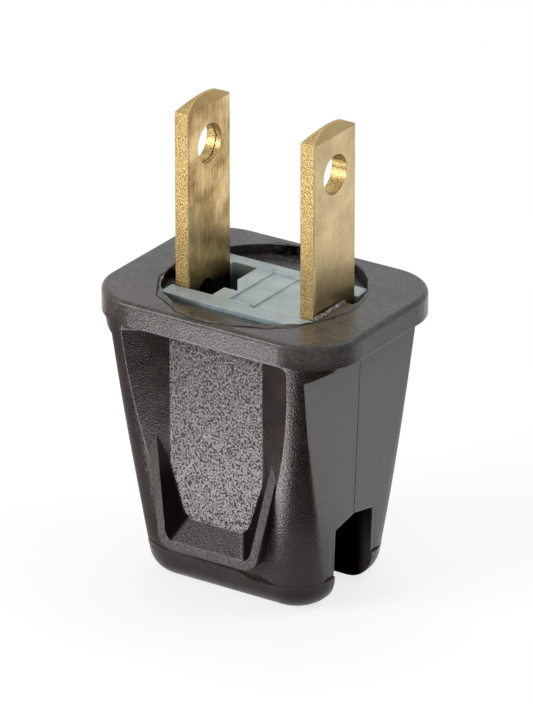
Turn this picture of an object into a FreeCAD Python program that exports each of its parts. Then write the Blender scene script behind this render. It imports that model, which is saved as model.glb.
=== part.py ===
"""Two-blade plug of the kind that is wired without tools.

A moulded casing with a flange and two finger grips holds a moulded blade carrier.
The carrier holds two stamped brass blades, whose lanced teeth reach the cord channel.
X runs along the row of blades, Y from the front grip to the back grip, Z up.
The origin is the middle of the face that the plug stands on, and all sizes are in mm.
"""

import FreeCAD
import Part
import math
import os

# Casing: flange and tapered block
casing_height = 26.7
flange_length = 25.4
flange_depth = 19.2
flange_corner = 5.1
flange_thickness = 2.2
flange_top_rounding = 0.4
flange_step_x = 1.0
flange_step_y = 0.1
block_draft = 6.75
block_corner = 3.6
foot_rounding = 2.5

# Casing: planed sides below the flange
side_top_spacing = 19.5
side_draft = 2.2
side_slope = 25.0
side_foot_height = 2.8

# Casing: finger grip on the front and on the back
panel_spacing = 15.0
panel_width = 9.4
wall_head_slope = 28.3
wall_foot_slope = 14.5
wall_head_rounding = 0.6
grip_foot_height = 6.5
rib_width = 0.8
rib_foot_width = 9.8
rib_foot_height = 4.37
rib_splay = 10.2
rib_corner = 1.5
rib_lean = 6.5
rib_face_spacing = 15.95
rib_face_height = 13.7
ledge_rise = 1.95
rib_inner_flare = 1.1
rib_root = 0.6

# Casing: pocket in the plug face, and the lands that back the blades
pocket_diameter = 18.0
pocket_depth = 0.85
land_start = 1.0
land_end = 4.3
land_gap = 0.4
land_drop = 0.15

# Blade carrier
carrier_depth = 10.1
carrier_overhang = 0.25
carrier_corner = 0.5
carrier_top_drop = 0.45
carrier_height = 17.0
carrier_clearance = 0.2
seat_clearance = 0.05
floor_step = 0.12
floor_middle_start = -1.5
floor_right_start = 0.95
floor_wall_gap = 0.4
pit_depth = 2.4
pit_width = 2.4
pit_bay_width = 3.75
pit_bay_front = -1.4
pit_bay_back = 0.6
cord_channel_length = 6.0
cord_channel_depth = 4.6
cord_channel_roof = 3.4

# Cord entry: a gabled slot through the right side, open at the foot
entry_width = 5.8
entry_height = 7.1
entry_gable = 0.6
entry_reach = 3.2

# Blades
blade_spacing = 12.7
blade_width = 6.35
blade_thickness = 1.5
blade_length = 16.2
blade_tip_rise = 0.8
blade_tip_bevel = 0.65
blade_tip_bevel_height = 0.1
blade_edge_break = 0.12
blade_hole_diameter = 3.6
blade_hole_height = 11.8
blade_foot_depth = 12.6
blade_foot_corner = 0.8
blade_clearance = 0.1
nib_height = 1.4
nib_reach = 0.6
nib_depth = 9.6
tooth_window_width = 2.1
tooth_window_height = 4.0
tooth_window_drop = 0.0
tooth_offset = 0.6
tooth_length = 4.1
tooth_point = 0.3

# Heights and half sizes that follow from the sizes above
plug_face = casing_height
flange_foot = plug_face - flange_thickness
pocket_floor = plug_face - pocket_depth
carrier_top = plug_face - carrier_top_drop
carrier_foot = carrier_top - carrier_height
cavity_floor = carrier_foot - seat_clearance
blade_inner_x = blade_spacing / 2 - blade_thickness / 2
blade_outer_x = blade_spacing / 2 + blade_thickness / 2
carrier_half_length = blade_outer_x + carrier_overhang
cavity_half_length = carrier_half_length + carrier_clearance
cavity_half_depth = carrier_depth / 2 + carrier_clearance
slot_half_depth = blade_width / 2 + blade_clearance
front = FreeCAD.Vector(0, -1, 0)


def in_plan(z):
    """Place a flat outline (x, y) at one height."""
    return lambda a, b: FreeCAD.Vector(a, b, z)


def facing_front(y):
    """Place a flat outline (x, z) at one depth."""
    return lambda a, b: FreeCAD.Vector(a, y, b)


def facing_side(x):
    """Place a flat outline (y, z) at one distance along the row of blades."""
    return lambda a, b: FreeCAD.Vector(x, a, b)


def rounded_wire(corners, radii, place):
    """Closed wire through the corners, each rounded by its own radius; zero keeps it sharp."""
    count = len(corners)
    starts = []
    middles = []
    ends = []
    for i in range(count):
        corner = FreeCAD.Vector(*corners[i], 0)
        before = (FreeCAD.Vector(*corners[i - 1], 0) - corner).normalize()
        after = (FreeCAD.Vector(*corners[(i + 1) % count], 0) - corner).normalize()
        half = before.getAngle(after) / 2
        reach = radii[i] / math.tan(half)
        inward = (before + after).normalize()
        centre = corner + inward * (radii[i] / math.sin(half))
        starts.append(corner + before * reach)
        middles.append(centre - inward * radii[i])
        ends.append(corner + after * reach)
    edges = []
    for i in range(count):
        if radii[i] > 0:
            arc = [place(p.x, p.y) for p in (starts[i], middles[i], ends[i])]
            edges.append(Part.Arc(*arc).toShape())
        following = starts[(i + 1) % count]
        edges.append(Part.makeLine(place(ends[i].x, ends[i].y), place(following.x, following.y)))
    return Part.Wire(edges)


def rectangle(half_a, half_b):
    """Corners of a rectangle about the origin."""
    return [(-half_a, -half_b), (half_a, -half_b), (half_a, half_b), (-half_a, half_b)]


def prism(corners, radii, place, along):
    """Solid swept from a rounded outline along a vector."""
    return Part.Face(rounded_wire(corners, radii, place)).extrude(along)


def box(x0, x1, y0, y1, z0, z1):
    """Block between two corners."""
    return Part.makeBox(x1 - x0, y1 - y0, z1 - z0, FreeCAD.Vector(x0, y0, z0))


def mirrored(shape, normal):
    """Copy of a shape on the other side of a plane through the origin."""
    return shape.mirror(FreeCAD.Vector(0, 0, 0), normal)


def half_turned(shape):
    """Copy of a shape turned half round about the plug's axis."""
    copy = shape.copy()
    copy.rotate(FreeCAD.Vector(0, 0, 0), FreeCAD.Vector(0, 0, 1), 180)
    return copy


def block_half(z, axis):
    """Half length (axis 0) or half depth (axis 1) of the tapered block at a height."""
    top = (flange_length / 2 - flange_step_x, flange_depth / 2 - flange_step_y)[axis]
    return top - (flange_foot - z) * math.tan(math.radians(block_draft))


def frustum(foot, head):
    """Solid between two rectangles, each given as its height and two half sizes, all faces outwards."""
    rings = []
    for z, half_x, half_y in (foot, head):
        rings.append([FreeCAD.Vector(x, y, z) for x, y in rectangle(half_x, half_y)])
    low, high = rings
    rings[0] = low[::-1]
    for i in range(4):
        j = (i + 1) % 4
        rings.append([low[i], low[j], high[j], high[i]])
    faces = [Part.Face(Part.makePolygon(ring + ring[:1])) for ring in rings]
    return Part.Solid(Part.Shell(faces))


def tapered_block():
    """Block that narrows towards its foot, with rounded corners and a rounded foot."""
    ends = [(z, block_half(z, 0), block_half(z, 1)) for z in (0, flange_foot)]
    block = frustum(*ends)
    corner_edges = [e for e in block.Edges if e.BoundBox.ZLength > flange_foot / 2]
    block = block.makeFillet(block_corner, corner_edges)
    foot_edges = [e for e in block.Edges if e.BoundBox.ZMax < 0.001]
    return block.makeFillet(foot_rounding, foot_edges)


def flange():
    """Plate round the plug face, with a rounded upper edge."""
    outline = rectangle(flange_length / 2, flange_depth / 2)
    rise = FreeCAD.Vector(0, 0, flange_thickness)
    plate = prism(outline, [flange_corner] * 4, in_plan(flange_foot), rise)
    top_edges = [e for e in plate.Edges if e.BoundBox.ZMin > plug_face - 0.001]
    return plate.makeFillet(flange_top_rounding, top_edges)


def side_cutter():
    """What is planed off the right side, up to the sloping underside of the flange."""
    drift = math.tan(math.radians(side_draft))
    slope = math.tan(math.radians(side_slope))
    outside = flange_length / 2
    top_x = side_top_spacing / 2
    top_z = flange_foot - (outside - top_x) * slope
    foot_x = top_x - (top_z - side_foot_height) * drift
    corners = [
        (foot_x, side_foot_height),
        (outside * 1.2, side_foot_height),
        (outside * 1.2, flange_foot),
        (outside, flange_foot),
        (top_x, top_z),
    ]
    depth = FreeCAD.Vector(0, 2 * flange_depth, 0)
    return prism(corners, [0] * 5, facing_front(-flange_depth), depth)


def grip_recess():
    """Finger recess: a flat panel between two walls that slope out to the front, steeper at the head."""
    panel = panel_spacing / 2
    reach = flange_depth / 2
    wires = []
    for z, slope in ((grip_foot_height, wall_foot_slope), (flange_foot, wall_head_slope)):
        flare = (reach - panel) / math.tan(math.radians(slope))
        corners = [
            (-panel_width / 2, -panel),
            (-panel_width / 2 - flare, -reach),
            (panel_width / 2 + flare, -reach),
            (panel_width / 2, -panel),
        ]
        wires.append(rounded_wire(corners, [0] * 4, in_plan(z)))
    recess = Part.makeLoft(wires, True, True)
    heads = [
        e for e in recess.Edges
        if e.BoundBox.ZMin > flange_foot - 0.001 and e.BoundBox.YLength > 0.1
    ]
    return recess.makeFillet(wall_head_rounding, heads)


def trapezium(foot, foot_half, head, head_half):
    """Corners of an upright trapezium (x, z)."""
    return [(-foot_half, foot), (foot_half, foot), (head_half, head), (-head_half, head)]


def rib_face(z):
    """Depth of the rib's leaning face at a height."""
    return -rib_face_spacing / 2 - (rib_face_height - z) * math.tan(math.radians(rib_lean))


def on_rib_face(proud):
    """Place a flat outline (x, z) on the rib's leaning face, or proud of it."""
    return lambda a, b: FreeCAD.Vector(a, rib_face(b) - proud, b)


def grip_rib():
    """Raised rib shaped like a U, whose face leans out towards its foot, with a sloping ledge."""
    panel = panel_spacing / 2
    splay = math.tan(math.radians(rib_splay))
    head = rib_face_height + 3
    outer_foot = rib_foot_width / 2
    outer_head = outer_foot + (head - rib_foot_height) * splay
    outer = trapezium(rib_foot_height, outer_foot, head, outer_head)
    outer_corners = [rib_corner, rib_corner, 0, 0]
    wires = [
        rounded_wire(outer, outer_corners, facing_front(-panel + rib_root)),
        rounded_wire(outer, outer_corners, on_rib_face(0)),
    ]
    rib = Part.makeLoft(wires, True, True)

    # The opening narrows from the rib's face to the panel, with the ledge at its foot.
    mouth_foot = rib_foot_height + rib_width
    mouth_half = outer_foot + rib_width * splay - rib_width
    mouth_head = outer_head - rib_width + splay
    mouth = trapezium(mouth_foot, mouth_half, head + 1, mouth_head)
    base = trapezium(mouth_foot + ledge_rise, mouth_half - rib_inner_flare, head + 1, mouth_head)
    corner = rib_corner - rib_width / 2
    inner_corners = [corner, corner, 0, 0]
    wires = [
        rounded_wire(base, inner_corners, facing_front(-panel)),
        rounded_wire(mouth, inner_corners, on_rib_face(0)),
        rounded_wire(mouth, inner_corners, on_rib_face(1)),
    ]
    return rib.cut(Part.makeLoft(wires, True, True))


def land():
    """Raised land in the pocket behind the right blade's outer face."""
    start = blade_outer_x + land_gap
    top = plug_face - land_drop
    return box(start, pocket_diameter / 2, -land_end, land_start, pocket_floor - 0.1, top)


def carrier_cavity():
    """Pocket in the plug face, the shaft for the carrier and the cord's way into it."""
    axis = FreeCAD.Vector(0, 0, 1)
    bottom = FreeCAD.Vector(0, 0, pocket_floor)
    pocket = Part.makeCylinder(pocket_diameter / 2, pocket_depth + 1, bottom, axis)
    pocket = pocket.cut(land())
    pocket = pocket.cut(half_turned(land()))
    outline = rectangle(cavity_half_length, cavity_half_depth)
    rise = FreeCAD.Vector(0, 0, plug_face - cavity_floor)
    corner = carrier_corner + carrier_clearance
    shaft = prism(outline, [corner] * 4, in_plan(cavity_floor), rise)
    half_x = cord_channel_length / 2
    half_y = cord_channel_depth / 2
    way = box(-half_x, half_x, -half_y, half_y, entry_height / 2, cavity_floor + 0.1)
    return pocket.fuse([shaft, way])


def cord_entry():
    """Slot for the cord: straight walls, a gabled roof, open at the foot and the right side."""
    half = entry_width / 2
    corners = [
        (-half, -1),
        (half, -1),
        (half, entry_height),
        (0, entry_height + entry_gable),
        (-half, entry_height),
    ]
    along = FreeCAD.Vector(entry_reach + flange_length, 0, 0)
    return prism(corners, [0] * 5, facing_side(-entry_reach), along)


def make_casing():
    """Casing: the tapered block, planed sides, flange, grips, cavity and cord entry."""
    body = tapered_block()
    right = side_cutter()
    body = body.cut([right, mirrored(right, FreeCAD.Vector(1, 0, 0))])
    recess = grip_recess()
    body = body.cut([recess, mirrored(recess, front)])
    rib = grip_rib()
    body = body.fuse([rib, mirrored(rib, front), flange()])
    body = body.cut(side_skirt())
    return body.cut([carrier_cavity(), cord_entry()]).removeSplitter()


def side_skirt():
    """Nothing below the flange may stand outside the slope of its underside."""
    right = side_cutter()
    return right.fuse(mirrored(right, FreeCAD.Vector(1, 0, 0)))


def blade_slot():
    """Slot in the carrier that the right blade slips into from its end."""
    inner = blade_inner_x - blade_clearance
    outer = carrier_half_length + 1
    foot = plug_face - blade_foot_depth - seat_clearance
    slot = box(inner, outer, -slot_half_depth, slot_half_depth, foot, carrier_top + 1)
    return slot.cut([nib(1), nib(-1)])


def nib(side):
    """Nib in a blade slot, at the front (-1) or the back (1), that keys the blade's foot."""
    wall = side * (slot_half_depth + 0.5)
    tip = side * (slot_half_depth - nib_reach)
    middle = plug_face - nib_depth
    near = min(wall, tip)
    far = max(wall, tip)
    inner = blade_inner_x - 1
    outer = blade_outer_x - blade_edge_break
    return box(inner, outer, near, far, middle - nib_height / 2, middle + nib_height / 2)


def tooth_passage():
    """Way from the right blade's slot to the cord channel for the blade's tooth."""
    half = tooth_window_width / 2 + blade_clearance
    head = plug_face - tooth_window_drop - carrier_top_drop - tooth_window_height + blade_clearance
    foot = head - blade_thickness - 2 * blade_clearance
    start = cord_channel_length / 2 - 0.1
    return box(start, blade_inner_x, tooth_offset - half, tooth_offset + half, foot, head)


def pit():
    """Pit in the carrier's top beside the left blade, with a bay towards the middle."""
    edge = -blade_inner_x - blade_clearance
    inner = -blade_inner_x + pit_width
    bay = -blade_inner_x + pit_bay_width
    back = slot_half_depth + floor_wall_gap
    corners = [
        (edge, -slot_half_depth),
        (inner, -slot_half_depth),
        (inner, pit_bay_front),
        (bay, pit_bay_front),
        (inner, pit_bay_back),
        (inner, back),
        (edge, back),
    ]
    rise = FreeCAD.Vector(0, 0, pit_depth + 1)
    return prism(corners, [0] * 7, in_plan(carrier_top - pit_depth), rise)


def make_carrier():
    """Blade carrier: a block with end slots, a stepped floor, a pit and the cord channel."""
    outline = rectangle(carrier_half_length, carrier_depth / 2)
    rise = FreeCAD.Vector(0, 0, carrier_height)
    block = prism(outline, [carrier_corner] * 4, in_plan(carrier_foot), rise)
    slot = blade_slot()
    inner = blade_inner_x
    wall = slot_half_depth + floor_wall_gap
    step = carrier_top - floor_step
    middle = box(floor_middle_start, inner, -slot_half_depth, wall, step, plug_face)
    right = box(floor_right_start, inner, -wall, wall, step - floor_step, plug_face)
    half_x = cord_channel_length / 2
    half_y = cord_channel_depth / 2
    roof = carrier_top - cord_channel_roof
    channel = box(-half_x, half_x, -half_y, half_y, carrier_foot - 1, roof)
    passage = tooth_passage()
    cuts = [slot, half_turned(slot), pit(), middle, right, channel, passage, half_turned(passage)]
    return block.cut(cuts).removeSplitter()


def blade_plate():
    """Flat blank of the right blade: a shallow round tip, a straight shank and a keyed foot."""
    half = blade_width / 2
    tip = plug_face + blade_length
    shoulder = tip - blade_tip_rise
    foot = plug_face - blade_foot_depth
    place = facing_side(blade_inner_x)
    corner = blade_foot_corner
    bend = corner * (1 - math.sqrt(0.5))
    edges = [
        Part.Arc(place(half, shoulder), place(0, tip), place(-half, shoulder)).toShape(),
        Part.makeLine(place(-half, shoulder), place(-half, foot + corner)),
        Part.Arc(
            place(-half, foot + corner),
            place(-half + bend, foot + bend),
            place(-half + corner, foot),
        ).toShape(),
        Part.makeLine(place(-half + corner, foot), place(half - corner, foot)),
        Part.Arc(
            place(half - corner, foot),
            place(half - bend, foot + bend),
            place(half, foot + corner),
        ).toShape(),
        Part.makeLine(place(half, foot + corner), place(half, shoulder)),
    ]
    return Part.Face(Part.Wire(edges)).extrude(FreeCAD.Vector(blade_thickness, 0, 0))


def tip_bevel():
    """What the coined tip lacks on both broad faces."""
    tip = plug_face + blade_length
    start = tip - blade_tip_rise - blade_tip_bevel_height
    flat = blade_thickness - 2 * blade_tip_bevel
    keep = [
        (blade_inner_x, start),
        (blade_outer_x, start),
        (blade_inner_x + blade_tip_bevel + flat, tip + 0.01),
        (blade_inner_x + blade_tip_bevel, tip + 0.01),
    ]
    depth = FreeCAD.Vector(0, 2 * blade_width, 0)
    kept = prism(keep, [0] * 4, facing_front(-blade_width), depth)
    all_of_it = box(
        blade_inner_x - 1, blade_outer_x + 1, -blade_width, blade_width, start, tip + 1
    )
    return all_of_it.cut(kept)


def blade_tooth():
    """Tooth lanced from the blade's window and bent square towards the cord."""
    half = tooth_window_width / 2
    root = blade_inner_x + blade_thickness / 2
    tip = blade_inner_x - tooth_length
    head = plug_face - tooth_window_drop - carrier_top_drop - tooth_window_height
    corners = [
        (root, tooth_offset - half),
        (root, tooth_offset + half),
        (blade_inner_x - tooth_length / 3, tooth_offset + half),
        (tip, tooth_offset + tooth_point / 2),
        (tip, tooth_offset - tooth_point / 2),
        (blade_inner_x - tooth_length / 3, tooth_offset - half),
    ]
    return prism(corners, [0] * 6, in_plan(head - blade_thickness), FreeCAD.Vector(0, 0, blade_thickness))


def tooth_window():
    """Window that the tooth leaves in the blade, with a round head."""
    half = tooth_window_width / 2
    head = plug_face - tooth_window_drop - carrier_top_drop
    foot = head - tooth_window_height
    corners = [
        (tooth_offset - half, foot),
        (tooth_offset + half, foot),
        (tooth_offset + half, head),
        (tooth_offset - half, head),
    ]
    round_head = half * 0.95
    along = FreeCAD.Vector(blade_thickness + 2, 0, 0)
    return prism(corners, [0, 0, round_head, round_head], facing_side(blade_inner_x - 1), along)


def nib_notch(side):
    """Notch in the blade's foot that takes a nib of the carrier."""
    middle = plug_face - nib_depth
    reach = blade_width / 2 - nib_reach
    near = min(side * reach, side * blade_width)
    far = max(side * reach, side * blade_width)
    half = nib_height / 2 + blade_clearance
    return box(blade_inner_x - 1, blade_outer_x + 1, near, far, middle - half, middle + half)


def make_blade():
    """Right blade; the left one is the same blade turned half round."""
    plate = blade_plate()
    long_edges = [
        e for e in plate.Edges if e.BoundBox.ZLength > blade_length and e.BoundBox.XLength < 0.001
    ]
    plate = plate.makeChamfer(blade_edge_break, long_edges)
    centre = FreeCAD.Vector(blade_inner_x - 1, 0, plug_face + blade_hole_height)
    along = FreeCAD.Vector(1, 0, 0)
    hole = Part.makeCylinder(blade_hole_diameter / 2, blade_thickness + 2, centre, along)
    plate = plate.cut([tip_bevel(), hole, tooth_window(), nib_notch(1), nib_notch(-1)])
    return plate.fuse(blade_tooth()).removeSplitter()


os.makedirs("parts", exist_ok=True)
right_blade = make_blade()
pieces = {
    "casing": make_casing(),
    "blade_carrier": make_carrier(),
    "blade_right": right_blade,
    "blade_left": half_turned(right_blade),
}
for name, shape in pieces.items():
    shape.exportStep("parts/" + name + ".step")
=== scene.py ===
# %% [markdown]
# # A two-blade plug on a white table
# The plug was built as solid parts: a dark moulded casing, a milky blade carrier pushed into it, and
# two stamped brass blades. This lesson loads those parts, gives each one a finish made of nodes, adds
# the thin lines and ragged skins that moulding leaves behind, and sets up a small studio. The solid
# parts stay exactly where they are. Everything is in metres, with X along the row of blades.

# %% Load the solid parts
import math

import bpy
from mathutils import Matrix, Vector


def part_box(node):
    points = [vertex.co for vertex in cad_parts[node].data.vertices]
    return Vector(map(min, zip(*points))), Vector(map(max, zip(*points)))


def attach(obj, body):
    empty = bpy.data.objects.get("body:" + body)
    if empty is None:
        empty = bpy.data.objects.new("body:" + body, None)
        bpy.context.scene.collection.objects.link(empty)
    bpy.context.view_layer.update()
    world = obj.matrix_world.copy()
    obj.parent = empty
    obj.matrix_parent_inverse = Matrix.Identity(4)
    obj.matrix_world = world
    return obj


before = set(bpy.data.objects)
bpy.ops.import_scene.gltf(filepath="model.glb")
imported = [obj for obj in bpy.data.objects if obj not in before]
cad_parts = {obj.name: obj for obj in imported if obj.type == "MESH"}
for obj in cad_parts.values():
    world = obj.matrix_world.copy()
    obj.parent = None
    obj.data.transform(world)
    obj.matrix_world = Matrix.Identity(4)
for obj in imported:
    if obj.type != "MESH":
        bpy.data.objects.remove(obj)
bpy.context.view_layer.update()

MM = 0.001
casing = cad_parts["casing"]
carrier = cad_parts["blade_carrier"]
blades = [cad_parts["blade_right"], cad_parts["blade_left"]]
plug_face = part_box("casing")[1].z
blade_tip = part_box("blade_right")[1].z
print("parts:", sorted(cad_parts))
print("plug face at", round(plug_face / MM, 2), "mm, blade tips at", round(blade_tip / MM, 2), "mm")

# %% [markdown]
# ## Camera
# The picture was taken with a long lens, a little above the plug and to the right of its front. The
# camera could be placed by eye, but a measured view is easier to trust: 33.5 degrees round from the
# front, 23.3 degrees up and 600 mm from the plug face, with 11.75 pixels to the millimetre there. The
# lens follows from that scale, because focal length in pixels is scale times distance.

# %% Place the camera
IMAGE_WIDTH, IMAGE_HEIGHT = 533, 709
AZIMUTH, ELEVATION = math.radians(33.5), math.radians(23.3)
CAMERA_DISTANCE = 600 * MM
PIXELS_PER_MM = 11.75
FACE_PIXEL = (264.8, 285.3)

back = Vector((
    math.sin(AZIMUTH) * math.cos(ELEVATION),
    -math.cos(AZIMUTH) * math.cos(ELEVATION),
    math.sin(ELEVATION),
))
right = Vector((math.cos(AZIMUTH), math.sin(AZIMUTH), 0))
up = back.cross(right)
face_centre = Vector((0, 0, plug_face))
pixel = MM / PIXELS_PER_MM
middle_of_view = (
    face_centre
    + right * (IMAGE_WIDTH / 2 - FACE_PIXEL[0]) * pixel
    - up * (IMAGE_HEIGHT / 2 - FACE_PIXEL[1]) * pixel
)
lens_data = bpy.data.cameras.new("studio_camera")
camera = bpy.data.objects.new("studio_camera", lens_data)
bpy.context.scene.collection.objects.link(camera)
camera.location = face_centre + back * CAMERA_DISTANCE
camera.rotation_euler = (middle_of_view - camera.location).to_track_quat("-Z", "Y").to_euler()
focal_pixels = PIXELS_PER_MM * CAMERA_DISTANCE / MM
lens_data.lens = focal_pixels * lens_data.sensor_width / max(IMAGE_WIDTH, IMAGE_HEIGHT)
bpy.context.scene.camera = camera
print("lens", round(lens_data.lens, 1), "mm")

# %% [markdown]
# ## Nodes and colours
# Every finish below is a small graph of nodes. One function adds a node, sets its options and joins its
# inputs, so that a graph reads from top to bottom. Colours are written as the hex values that a colour
# picker shows, and a second function turns them into the linear numbers that shaders work with. A third
# one starts each finish with an empty graph.

# %% Three helpers for the finishes
def linear(hex_colour):
    """Linear colour, with alpha 1, from an sRGB hex value."""
    channels = [int(hex_colour[i:i + 2], 16) / 255 for i in (1, 3, 5)]
    return [c / 12.92 if c <= 0.04045 else ((c + 0.055) / 1.055) ** 2.4 for c in channels] + [1]


def add_node(tree, kind, inputs=None, **options):
    """Adds a node; an input is given a value, or is linked when it is given another node's output."""
    node = tree.nodes.new(kind)
    for name, value in options.items():
        setattr(node, name, value)
    for socket, value in (inputs or {}).items():
        if isinstance(value, bpy.types.NodeSocket):
            tree.links.new(value, node.inputs[socket])
        else:
            node.inputs[socket].default_value = value
    return node


def new_finish(name):
    """An empty material and its node tree."""
    finish = bpy.data.materials.new(name)
    finish.use_nodes = True
    finish.node_tree.nodes.clear()
    return finish, finish.node_tree


print("casing brown", [round(c, 4) for c in linear("#261a17")])

# %% [markdown]
# ## Table and light
# A product picture like this is taken on a pale sheet in a white room. The sheet keeps the plug's shadow.
# A white sheet could be had with more light, but that would bleach the plug too. So the sheet is lifted to
# white only for rays that look at it, straight or by reflection, and the plug gets no extra light from it.
# The room does the same.

# %% The pale table and the white surroundings
TABLE_SIZE, TABLE_LIFT = 6, 0.76
FILL_LEVEL = 0.3
bpy.context.scene.view_settings.view_transform = "Standard"


def seen_rays(tree):
    """1 for rays that look at a surface: from the camera, by reflection or through glass."""
    path = add_node(tree, "ShaderNodeLightPath")
    first = add_node(
        tree, "ShaderNodeMath",
        {0: path.outputs["Is Camera Ray"], 1: path.outputs["Is Glossy Ray"]}, operation="ADD",
    )
    both = add_node(
        tree, "ShaderNodeMath",
        {0: first.outputs[0], 1: path.outputs["Is Transmission Ray"]}, operation="ADD", use_clamp=True,
    )
    return both.outputs[0]


table_finish, tree = new_finish("pale_table_sheet")
sheet = add_node(tree, "ShaderNodeBsdfDiffuse", {"Color": linear("#a9a9a7")})
lift_strength = add_node(
    tree, "ShaderNodeMath", {0: seen_rays(tree), 1: TABLE_LIFT}, operation="MULTIPLY"
)
lift = add_node(tree, "ShaderNodeEmission", {"Strength": lift_strength.outputs[0]})
lifted = add_node(tree, "ShaderNodeAddShader", {0: sheet.outputs[0], 1: lift.outputs[0]})
add_node(tree, "ShaderNodeOutputMaterial", {"Surface": lifted.outputs[0]})

bpy.ops.object.select_all(action="DESELECT")
bpy.ops.mesh.primitive_plane_add(size=TABLE_SIZE, location=(0, 0, 0))
table = bpy.context.object
table.name = "table"
table.data.materials.append(table_finish)

room = bpy.data.worlds.new("white_room")
bpy.context.scene.world = room
room.use_nodes = True
tree = room.node_tree
tree.nodes.clear()
fill = add_node(tree, "ShaderNodeBackground", {"Color": (1, 1, 1, 1), "Strength": FILL_LEVEL})
white = add_node(tree, "ShaderNodeBackground", {"Color": (1, 1, 1, 1), "Strength": 1.0})
either = add_node(
    tree, "ShaderNodeMixShader", {0: seen_rays(tree), 1: fill.outputs[0], 2: white.outputs[0]}
)
add_node(tree, "ShaderNodeOutputWorld", {"Surface": either.outputs[0]})
print(table.name, TABLE_SIZE, "m wide, room with a fill of", FILL_LEVEL)

# %% [markdown]
# Soft boxes draw broad even sheens on satin plastic and brass. Small lamps would draw hard dots. One box
# stands low in front on the left, one behind on the right and one hangs overhead. The power of each follows
# from the size of its face and how bright the face is.

# %% The soft boxes
# azimuth and elevation in degrees, distance, width and height in millimetres, brightness of the face
SOFT_BOXES = {
    "front_box": (-34, 16, 400, 240, 170, 7.0),
    "back_right_box": (120, 52, 420, 200, 200, 1.6),
    "top_box": (205, 70, 420, 240, 240, 1.4),
}


def direction(azimuth, elevation):
    """Unit vector towards a place in the studio; azimuth 0 is the front, 90 the right."""
    a, e = math.radians(azimuth), math.radians(elevation)
    return Vector((math.sin(a) * math.cos(e), -math.cos(a) * math.cos(e), math.sin(e)))


plug_middle = Vector((0, 0, plug_face * 0.6))
for name, (azimuth, elevation, distance, width, height, brightness) in SOFT_BOXES.items():
    lamp_data = bpy.data.lights.new(name, "AREA")
    lamp_data.shape = "RECTANGLE"
    lamp_data.size, lamp_data.size_y = width * MM, height * MM
    lamp_data.energy = brightness * math.pi * lamp_data.size * lamp_data.size_y
    lamp = bpy.data.objects.new(name, lamp_data)
    bpy.context.scene.collection.objects.link(lamp)
    away = direction(azimuth, elevation)
    lamp.location = plug_middle + away * distance * MM
    lamp.rotation_euler = (-away).to_track_quat("-Z", "Y").to_euler()
    print(name, round(lamp_data.energy, 3), "W")

# %% [markdown]
# A plain white room makes dark gloss look grey all over. Photographers lay cards beside the object, just
# out of the picture. Three bright cards put a sheen on the upright faces. Two black cards and a grey one
# draw the dark band down the near corner and keep the recess walls deep. Each card is a flat sector of a
# ring round the plug, which fits the angles at which upright faces mirror the table. Only reflections see
# the cards, so they neither show on the table nor light or shade anything. The two bright ones in front
# start some way from the plug, so that its front doesn't mirror them when it is seen from above.

# %% Bright cards and dark cards
# azimuth of both straight sides in degrees, inner and outer radius in millimetres, brightness
CARDS = {
    "bright_card_panel": (-38, -21, 19, 64, 11.0),
    "bright_card_corner": (-21, 10, 17, 34, 9.5),
    "bright_card_back": (118, 176, 12, 62, 1.4),
    "black_card_right": (16, 108, 20, 66, 0.01),
    "black_card_front": (-21, 16, 36, 66, 0.01),
    "grey_card_left": (-100, -42, 13, 90, 0.35),
}
CARD_RISE = 0.3 * MM
for name, (start, end, inner, outer, brightness) in CARDS.items():
    bpy.ops.object.select_all(action="DESELECT")
    bpy.ops.mesh.primitive_circle_add(vertices=96, radius=outer * MM, location=(0, 0, CARD_RISE))
    card = bpy.context.object
    card.name = name
    bpy.ops.object.transform_apply(location=True, rotation=True, scale=True)
    bpy.ops.object.mode_set(mode="EDIT")
    bpy.ops.mesh.extrude_edges_move()
    bpy.ops.transform.resize(value=(inner / outer, inner / outer, 1), center_override=(0, 0, CARD_RISE))
    for azimuth, clears_inner in ((start, True), (end, False)):
        bpy.ops.mesh.select_all(action="SELECT")
        side = direction(azimuth, 0)
        bpy.ops.mesh.bisect(
            plane_co=(0, 0, CARD_RISE), plane_no=(-side.y, side.x, 0),
            clear_inner=clears_inner, clear_outer=not clears_inner, threshold=1e-7,
        )
    bpy.ops.object.mode_set(mode="OBJECT")
    card_finish, tree = new_finish(name)
    glow = add_node(tree, "ShaderNodeEmission", {"Strength": brightness})
    add_node(tree, "ShaderNodeOutputMaterial", {"Surface": glow.outputs[0]})
    card.data.materials.append(card_finish)
    card.visible_camera = False
    card.visible_diffuse = False
    card.visible_shadow = False
    print(name, len(card.data.polygons), "faces")

# %% [markdown]
# ## Casing: dark brown plastic from a spark-eroded mould
# The casing is a hard brown-black moulding. Its mould was spark-eroded, so the skin has a satin grain:
# coarse on the finger panels, shallower on the rest of the block and fine on the planed sides. The grain
# could be sculpted, but at this size it would take millions of faces, so it is bump. First the graph has
# to know where the panels are. They are the two flat faces at a known distance from the middle.

# %% Where the finger panels are
PANEL_DEPTH, PANEL_HALF_WIDTH = 7.5, 4.7

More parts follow.
